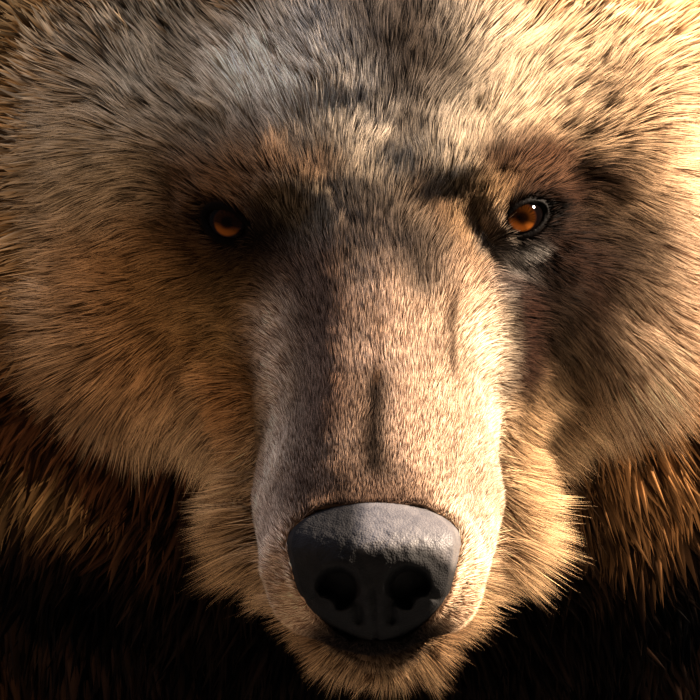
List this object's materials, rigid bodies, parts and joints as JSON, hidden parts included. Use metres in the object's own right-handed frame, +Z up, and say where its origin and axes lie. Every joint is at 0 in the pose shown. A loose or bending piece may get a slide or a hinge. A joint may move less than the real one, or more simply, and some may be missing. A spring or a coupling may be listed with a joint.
{
  "type": "brown bear",
  "caption": "Adult brown bear standing on all fours with its head lowered and looking ahead; a still, life-size animal figure.",
  "frame": {"origin": "on the floor, under the middle of the bear's bounding box, at the level of its soles", "axes": "+X to the bear's left, +Y from head to tail along its length, so it faces -Y, and +Z up"},
  "size_m": [0.716, 2.0974, 1.178],
  "materials": {
    "coat": "dense matt fur: grizzled gold-brown face, darker rust-brown neck, brown body, near-black brown legs",
    "nose_leather": "damp black-brown pebbled nose skin, semi-gloss",
    "eye": "wet clear cornea over an amber-brown iris",
    "claw_horn": "dark brown horn, paler towards the tip, satin"
  },
  "bodies": {
    "root": {"trunk": "coat", "neck": "coat", "head": "coat", "lower_jaw": "coat", "nose": "nose_leather", "tail": "coat", "ear_left": "coat", "eye_left": "eye", "upper_arm_left": "coat", "forearm_left": "coat", "fore_paw_left": "coat", "thigh_left": "coat", "shank_left": "coat", "hind_paw_left": "coat", "fore_claw_left_1": "claw_horn", "fore_claw_left_2": "claw_horn", "fore_claw_left_3": "claw_horn", "fore_claw_left_4": "claw_horn", "fore_claw_left_5": "claw_horn", "hind_claw_left_1": "claw_horn", "hind_claw_left_2": "claw_horn", "hind_claw_left_3": "claw_horn", "hind_claw_left_4": "claw_horn", "hind_claw_left_5": "claw_horn", "ear_right": "coat", "eye_right": "eye", "upper_arm_right": "coat", "forearm_right": "coat", "fore_paw_right": "coat", "thigh_right": "coat", "shank_right": "coat", "hind_paw_right": "coat", "fore_claw_right_1": "claw_horn", "fore_claw_right_2": "claw_horn", "fore_claw_right_3": "claw_horn", "fore_claw_right_4": "claw_horn", "fore_claw_right_5": "claw_horn", "hind_claw_right_1": "claw_horn", "hind_claw_right_2": "claw_horn", "hind_claw_right_3": "claw_horn", "hind_claw_right_4": "claw_horn", "hind_claw_right_5": "claw_horn"}
  },
  "joints": []
}
